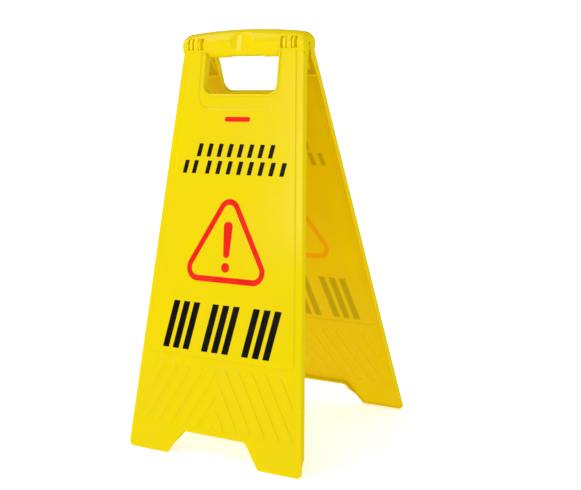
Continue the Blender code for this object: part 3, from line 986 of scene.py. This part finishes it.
def moulded_plastic_group():
    tree, source, result = new_group("moulded_plastic", {**PLASTIC, "Base roughness": 0.15})
    place = add_node(tree, "TexCoord").outputs["Object"]
    clouds = noise(tree, place, CLOUDS, 3.0)
    peel = noise(tree, place, PEEL, 2.0)
    grain = noise(tree, place, GRAIN, 1.0)
    drawn = add_node(tree, "Mapping", {"Vector": place, "Scale": FLOW_SCALE}).outputs[0]
    flow = noise(tree, drawn, 1.0, 2.0)
    scored = {"Vector": place, "Rotation": SCRATCH_TURN, "Scale": SCRATCH_SCALE}
    scratches = noise(tree, add_node(tree, "Mapping", scored).outputs[0], 1.0, 2.0)
    height = add_node(tree, "SeparateXYZ", {0: place}).outputs["Z"]
    low = remap(tree, height, 0.0, SCUFF_HEIGHT, 1.0, 0.12)
    scuffs = times(tree, remap(tree, scratches, 0.60, 0.74, 0.0, 1.0), low)
    ridge = attribute(tree, "ridge")
    crease = attribute(tree, "crease")
    worn = times(tree, ridge, remap(tree, peel, 0.35, 0.65, 0.15, 0.55))
    streaks = remap(tree, flow, 0.35, 0.7, 0.0, 0.06)
    deep = plus(tree, remap(tree, clouds, 0.3, 0.7, 0.0, 0.12), streaks)
    # painted shade: creases and the faces turned towards the other leaf are pushed towards the deeper colour
    inside = attribute(tree, "inside")
    painted_shade = plus(tree, times(tree, crease, 0.35), times(tree, inside, 0.5))
    deep = plus(tree, deep, painted_shade)
    colour = mix_colour(tree, deep, source.outputs["Main"], source.outputs["Deep_and_shade"])
    rubbed = maths(tree, "MAXIMUM", worn, times(tree, scuffs, 0.45))
    colour = mix_colour(tree, rubbed, colour, source.outputs["Worn"])
    rough = plus(tree, source.outputs["Base roughness"], remap(tree, peel, 0.3, 0.7, -0.04, 0.05))
    rough = plus(tree, rough, times(tree, scuffs, 0.22))
    rough = plus(tree, rough, remap(tree, clouds, 0.3, 0.7, -0.03, 0.03))
    bumps = plus(tree, times(tree, peel, 0.6), times(tree, grain, 0.12))
    bumps = maths(tree, "SUBTRACT", bumps, times(tree, scuffs, 0.25))
    put_out(tree, result, colour, rough, bumps)
    return tree


moulded_plastic = moulded_plastic_group()
print("moulded plastic:", len(moulded_plastic.nodes), "nodes")

# %% The look of screen-printed ink
BLACK_INK = {"Main": (0.004, 0.0035, 0.003), "Thin": (0.016, 0.013, 0.004)}
RED_INK = {"Main": (0.80, 0.003, 0.001), "Thin": (0.86, 0.03, 0.001)}
SCREEN, PATCHES, RUBS = 1300.0, 60.0, 420.0  # screen marks, uneven film and rubbed spots, per metre


def screen_ink_group():
    tree, source, result = new_group("screen_ink", {**BLACK_INK, "Base roughness": 0.38})
    place = add_node(tree, "TexCoord").outputs["Object"]
    screened = add_node(tree, "TexVoronoi", {"Vector": place, "Scale": SCREEN}).outputs["Distance"]
    patches = noise(tree, place, PATCHES, 3.0)
    rubbed = times(tree, remap(tree, noise(tree, place, RUBS, 3.0), 0.62, 0.72, 0.0, 1.0), 0.35)
    thin = plus(tree, rubbed, remap(tree, patches, 0.35, 0.7, 0.0, 0.35))
    rough = plus(tree, source.outputs["Base roughness"], remap(tree, patches, 0.3, 0.7, -0.05, 0.07))
    film = times(tree, patches, 0.4)
    bumps = plus(tree, times(tree, screened, 0.5), film)
    colour = mix_colour(tree, thin, source.outputs["Main"], source.outputs["Thin"])
    put_out(tree, result, colour, rough, bumps)
    return tree


screen_ink = screen_ink_group()
print("screen ink:", len(screen_ink.nodes), "nodes")

# %% [markdown]
# ## The finishes
# The plastic is glossy and very saturated, so its mirror reflection is kept weak and its colour strong. The
# ink's shadow behind the panel is the same plastic in a darker colour, and the pins get a slightly deeper
# orange. A weak warm glow is painted light: on the inner sides it stands in for the light that soaks through
# the thin walls, and it also brightens the grip's inner skin, the hinge walls and the pins. Both inks are a
# satin film. The shader itself stays in each material, outside the groups.

# %% Build the finishes
PIN = {**PLASTIC, "Main": (0.76, 0.52, 0.0002)}
SHADOWS = {"black_shadow": (0.47, 0.345, 0.0003), "red_shadow": (0.80, 0.36, 0.0003)}
WARM_LIGHT, WARM_SHARE = (0.92, 0.54, 0.0, 1.0), 0.55
# painted light: FACE_GLOW makes the shell's inner side glow, HOLLOW_GLOW the grip's inner skin, hinge walls
# and pins
FACE_GLOW, HOLLOW_GLOW = 0.095, 0.17
PLASTIC_BUMP, INK_BUMP = 0.006, 0.012        # millimetres


def make_finish(name, group, colours, roughness, mirror, bump):
    material = bpy.data.materials.new(name)
    material.use_nodes = True
    tree = material.node_tree
    shader = tree.nodes["Principled BSDF"]
    shader.inputs["Specular IOR Level"].default_value = mirror
    look = add_node(tree, "Group", node_tree=group)
    for title, colour in colours.items():
        look.inputs[title].default_value = (*colour, 1.0)
    look.inputs["Base roughness"].default_value = roughness
    raised = add_node(tree, "Bump", {"Height": look.outputs["Height"], "Distance": bump * MM})
    tree.links.new(look.outputs["Colour"], shader.inputs["Base Color"])
    tree.links.new(look.outputs["Roughness"], shader.inputs["Roughness"])
    tree.links.new(raised.outputs["Normal"], shader.inputs["Normal"])
    material.diffuse_color = (*colours["Main"], 1.0)
    return material


def look_of(material):
    return next(node for node in material.node_tree.nodes if node.type == "GROUP")


def add_glow(material, strength, inner_only=False):
    """Gives the finish a glow, everywhere or only where it faces the other leaf."""
    tree, look = material.node_tree, look_of(material)
    shader = tree.nodes["Principled BSDF"]
    warm = mix_colour(tree, WARM_SHARE, look.outputs["Colour"], WARM_LIGHT)
    if inner_only:
        share = attribute(tree, "inside")
        warm = mix_colour(tree, share, (0.0, 0.0, 0.0, 1.0), warm)
    tree.links.new(warm, shader.inputs["Emission Color"])
    shader.inputs["Emission Strength"].default_value = strength


def add_shadows(material):
    """Darkens the plastic where the opaque ink on its other side keeps the light out."""
    tree, look = material.node_tree, look_of(material)
    for title in ("Main", "Deep_and_shade"):
        colour = look.inputs[title].default_value[:]
        for name, behind in SHADOWS.items():
            share = attribute(tree, name)
            colour = mix_colour(tree, share, colour, (*behind, 1.0))
        tree.links.new(colour, look.inputs[title])


yellow_plastic = make_finish("yellow_plastic", moulded_plastic, PLASTIC, 0.15, 0.26, PLASTIC_BUMP)
shell_plastic = make_finish("shell_plastic", moulded_plastic, PLASTIC, 0.15, 0.26, PLASTIC_BUMP)
add_shadows(shell_plastic)
add_glow(shell_plastic, FACE_GLOW, inner_only=True)
glowing_plastic = make_finish("glowing_plastic", moulded_plastic, PLASTIC, 0.2, 0.26, PLASTIC_BUMP)
add_glow(glowing_plastic, HOLLOW_GLOW)
pin_plastic = make_finish("pin_plastic", moulded_plastic, PIN, 0.25, 0.3, PLASTIC_BUMP)
add_glow(pin_plastic, HOLLOW_GLOW)
black_print = make_finish("black_print", screen_ink, BLACK_INK, 0.38, 0.15, INK_BUMP)
red_print = make_finish("red_print", screen_ink, RED_INK, 0.36, 0.15, INK_BUMP)
print("grain:", PLASTIC_BUMP, "mm deep on plastic,", INK_BUMP, "mm deep on ink")

# %% [markdown]
# ## Assembly
# Each drawn piece is now stood up twice, once for each leaf. The leaf's shell stands for the whole packed
# panel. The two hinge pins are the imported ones: their shape is right, so they only get a finish.

# %% Stand the sign up
for leaf in LEAVES:
    shell = stand_up(leaf_skin, "leaf_shell", leaf, [shell_plastic], sharp=None)
    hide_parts(f"{leaf}_panel")
    stand_up(grip, "grip_half", leaf, [yellow_plastic, glowing_plastic])
    stand_up(walls, "hinge_walls", leaf, [glowing_plastic])
    stand_up(black_ink, "black_ink", leaf, [black_print])
    stand_up(red_ink, "red_ink", leaf, [red_print])
for side in ("left", "right"):
    for slot in bpy.data.objects[f"hinge_pin_{side}"].material_slots:
        slot.link = "OBJECT"
        slot.material = pin_plastic

# %% [markdown]
# ## The studio
# The sign stands on a white floor in even white light, as in a light tent. The floor gives off some light
# itself, so the sign hardly throws a shadow. White surroundings would also lie as a pale film on glossy
# plastic, so reflected rays see a dark floor and no sky, and the shine comes from two soft lamps instead.

# %% Floor, sky and lamps
FLOOR_GLOW, FLOOR_HALF = 0.44, 60.0  # its own light, and metres from middle to edge
SKY_LIGHT, SKY_SEEN = 0.76, 1.1      # what the sky gives, and how bright the camera sees it
scene.view_settings.view_transform = "Standard"


def floor_material():
    material = bpy.data.materials.new("studio_floor")
    material.use_nodes = True
    tree = material.node_tree
    tree.nodes.remove(tree.nodes["Principled BSDF"])
    place = add_node(tree, "TexCoord").outputs["Object"]
    tone = remap(tree, noise(tree, place, 2.0, 2.0), 0.3, 0.7, 0.88, 0.90)
    white = add_node(tree, "BsdfDiffuse", {"Color": tone})
    backlight = add_node(tree, "Emission", {"Color": (1.0, 1.0, 1.0, 1.0), "Strength": FLOOR_GLOW})
    lit = add_node(tree, "AddShader", {0: white.outputs[0], 1: backlight.outputs[0]})
    grey = add_node(tree, "BsdfDiffuse", {"Color": (0.03, 0.03, 0.03, 1.0)})
    reflected = add_node(tree, "LightPath").outputs["Is Glossy Ray"]
    mix = add_node(tree, "MixShader", {0: reflected, 1: lit.outputs[0], 2: grey.outputs[0]})
    tree.links.new(mix.outputs[0], tree.nodes["Material Output"].inputs["Surface"])
    return material


def white_sky(light, seen):
    world = bpy.data.worlds.new("studio_sky")
    scene.world = world
    world.use_nodes = True
    tree = world.node_tree
    sky = tree.nodes["Background"]
    to_camera = add_node(tree, "LightPath").outputs["Is Camera Ray"]
    tree.links.new(remap(tree, to_camera, 0.0, 1.0, light, seen), sky.inputs["Strength"])
    sky.inputs["Color"].default_value = (1.0, 1.0, 1.0, 1.0)
    world.cycles_visibility.glossy = False


def lamp(name, spot, aim, size, power):
    data = bpy.data.lights.new(name, "AREA")
    data.shape = "RECTANGLE"
    data.size, data.size_y = size
    data.energy = power
    light = add_object(name, data)
    look = (Vector(aim) - Vector(spot)).to_track_quat("-Z", "Y").to_matrix().to_4x4()
    light.matrix_world = Matrix.Translation(spot) @ look


bm = bmesh.new()
bmesh.ops.create_grid(bm, x_segments=1, y_segments=1, size=FLOOR_HALF)
floor = add_object("studio_floor", to_mesh(bm, "studio_floor"))
floor.data.materials.append(floor_material())
white_sky(SKY_LIGHT, SKY_SEEN)
lamp("front_lamp", spot=(-0.72, -1.81, 1.08), aim=(0.0, 0.0, 0.57), size=(0.54, 0.7), power=6.0)
lamp("key_lamp", spot=(-2.4, -0.9, 2.6), aim=(0.0, 0.0, 0.3), size=(2.2, 2.2), power=26.0)

# %% Finish
print("scene built")
